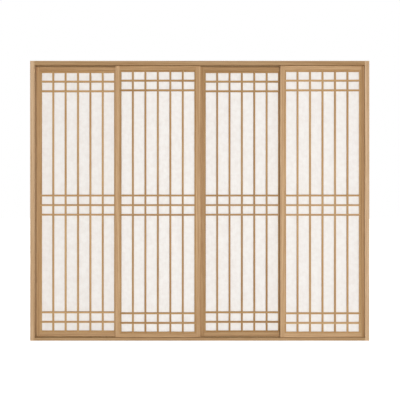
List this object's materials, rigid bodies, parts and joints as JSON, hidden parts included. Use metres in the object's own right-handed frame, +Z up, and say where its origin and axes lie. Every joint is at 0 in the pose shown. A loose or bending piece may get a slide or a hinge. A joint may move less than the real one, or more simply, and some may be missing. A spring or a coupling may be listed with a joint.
{
  "type": "sliding lattice screen",
  "caption": "Sliding lattice screen: paper-backed wooden lattice panels roll sideways past each other in a tracked wooden frame.",
  "frame": {"origin": "on the floor, at the middle of the frame's width and depth", "axes": "+X along the width to the viewer's right, +Y from the lattice side to the paper side, +Z up"},
  "size_m": [2.545, 0.115, 2.1],
  "materials": {
    "frame_wood": "satin",
    "panel_wood": "satin",
    "lattice_wood": "satin",
    "paper": "matte",
    "track_metal": "satin",
    "steel": "satin",
    "wheel_plastic": "matte"
  },
  "bodies": {
    "frame": {"left_jamb": "frame_wood", "right_jamb": "frame_wood", "head": "frame_wood", "sill": "frame_wood", "front_track_rail": "track_metal", "rear_track_rail": "track_metal", "frame_screws": "steel"},
    "panel_1": {"panel_1_left_stile": "panel_wood", "panel_1_right_stile": "panel_wood", "panel_1_top_rail": "panel_wood", "panel_1_bottom_rail": "panel_wood", "panel_1_lattice_border": "lattice_wood", "panel_1_uprights": "lattice_wood", "panel_1_crossbars": "lattice_wood", "panel_1_paper": "paper", "panel_1_paper_beads": "lattice_wood", "panel_1_roller_housings": "steel", "panel_1_axles": "steel"},
    "panel_1_left_wheel_body": {"panel_1_left_wheel": "wheel_plastic"},
    "panel_1_right_wheel_body": {"panel_1_right_wheel": "wheel_plastic"},
    "panel_2": {"panel_2_left_stile": "panel_wood", "panel_2_right_stile": "panel_wood", "panel_2_top_rail": "panel_wood", "panel_2_bottom_rail": "panel_wood", "panel_2_lattice_border": "lattice_wood", "panel_2_uprights": "lattice_wood", "panel_2_crossbars": "lattice_wood", "panel_2_paper": "paper", "panel_2_paper_beads": "lattice_wood", "panel_2_roller_housings": "steel", "panel_2_axles": "steel"},
    "panel_2_left_wheel_body": {"panel_2_left_wheel": "wheel_plastic"},
    "panel_2_right_wheel_body": {"panel_2_right_wheel": "wheel_plastic"},
    "panel_3": {"panel_3_left_stile": "panel_wood", "panel_3_right_stile": "panel_wood", "panel_3_top_rail": "panel_wood", "panel_3_bottom_rail": "panel_wood", "panel_3_lattice_border": "lattice_wood", "panel_3_uprights": "lattice_wood", "panel_3_crossbars": "lattice_wood", "panel_3_paper": "paper", "panel_3_paper_beads": "lattice_wood", "panel_3_roller_housings": "steel", "panel_3_axles": "steel"},
    "panel_3_left_wheel_body": {"panel_3_left_wheel": "wheel_plastic"},
    "panel_3_right_wheel_body": {"panel_3_right_wheel": "wheel_plastic"},
    "panel_4": {"panel_4_left_stile": "panel_wood", "panel_4_right_stile": "panel_wood", "panel_4_top_rail": "panel_wood", "panel_4_bottom_rail": "panel_wood", "panel_4_lattice_border": "lattice_wood", "panel_4_uprights": "lattice_wood", "panel_4_crossbars": "lattice_wood", "panel_4_paper": "paper", "panel_4_paper_beads": "lattice_wood", "panel_4_roller_housings": "steel", "panel_4_axles": "steel"},
    "panel_4_left_wheel_body": {"panel_4_left_wheel": "wheel_plastic"},
    "panel_4_right_wheel_body": {"panel_4_right_wheel": "wheel_plastic"}
  },
  "joints": [
    {"name": "panel_1_slide", "type": "slide", "parent": "frame", "child": "panel_1", "axis": [1, 0, 0], "range_m": [0, 0.6]},
    {"name": "panel_1_left_wheel_spin", "type": "hinge", "parent": "panel_1", "child": "panel_1_left_wheel_body", "pos_m": [-1.1525, 0.02, 0.0278], "axis": [0, 1, 0], "continuous": true},
    {"name": "panel_1_right_wheel_spin", "type": "hinge", "parent": "panel_1", "child": "panel_1_right_wheel_body", "pos_m": [-0.70125, 0.02, 0.0278], "axis": [0, 1, 0], "continuous": true},
    {"name": "panel_2_slide", "type": "slide", "parent": "frame", "child": "panel_2", "axis": [1, 0, 0], "range_m": [-0.597, 0]},
    {"name": "panel_2_left_wheel_spin", "type": "hinge", "parent": "panel_2", "child": "panel_2_left_wheel_body", "pos_m": [-0.54175, -0.02, 0.0278], "axis": [0, 1, 0], "continuous": true},
    {"name": "panel_2_right_wheel_spin", "type": "hinge", "parent": "panel_2", "child": "panel_2_right_wheel_body", "pos_m": [-0.0905, -0.02, 0.0278], "axis": [0, 1, 0], "continuous": true},
    {"name": "panel_3_slide", "type": "slide", "parent": "frame", "child": "panel_3", "axis": [1, 0, 0], "range_m": [0, 0.597]},
    {"name": "panel_3_left_wheel_spin", "type": "hinge", "parent": "panel_3", "child": "panel_3_left_wheel_body", "pos_m": [0.0955, 0.02, 0.0278], "axis": [0, 1, 0], "continuous": true},
    {"name": "panel_3_right_wheel_spin", "type": "hinge", "parent": "panel_3", "child": "panel_3_right_wheel_body", "pos_m": [0.54675, 0.02, 0.0278], "axis": [0, 1, 0], "continuous": true},
    {"name": "panel_4_slide", "type": "slide", "parent": "frame", "child": "panel_4", "axis": [1, 0, 0], "range_m": [-0.6, 0]},
    {"name": "panel_4_left_wheel_spin", "type": "hinge", "parent": "panel_4", "child": "panel_4_left_wheel_body", "pos_m": [0.70125, -0.02, 0.0278], "axis": [0, 1, 0], "continuous": true},
    {"name": "panel_4_right_wheel_spin", "type": "hinge", "parent": "panel_4", "child": "panel_4_right_wheel_body", "pos_m": [1.1525, -0.02, 0.0278], "axis": [0, 1, 0], "continuous": true}
  ],
  "couplings": [
    {"joint": "panel_1_left_wheel_spin", "follows": "panel_1_slide", "rad_per_m": 125},
    {"joint": "panel_1_right_wheel_spin", "follows": "panel_1_slide", "rad_per_m": 125},
    {"joint": "panel_2_left_wheel_spin", "follows": "panel_2_slide", "rad_per_m": 125},
    {"joint": "panel_2_right_wheel_spin", "follows": "panel_2_slide", "rad_per_m": 125},
    {"joint": "panel_3_left_wheel_spin", "follows": "panel_3_slide", "rad_per_m": 125},
    {"joint": "panel_3_right_wheel_spin", "follows": "panel_3_slide", "rad_per_m": 125},
    {"joint": "panel_4_left_wheel_spin", "follows": "panel_4_slide", "rad_per_m": 125},
    {"joint": "panel_4_right_wheel_spin", "follows": "panel_4_slide", "rad_per_m": 125}
  ]
}
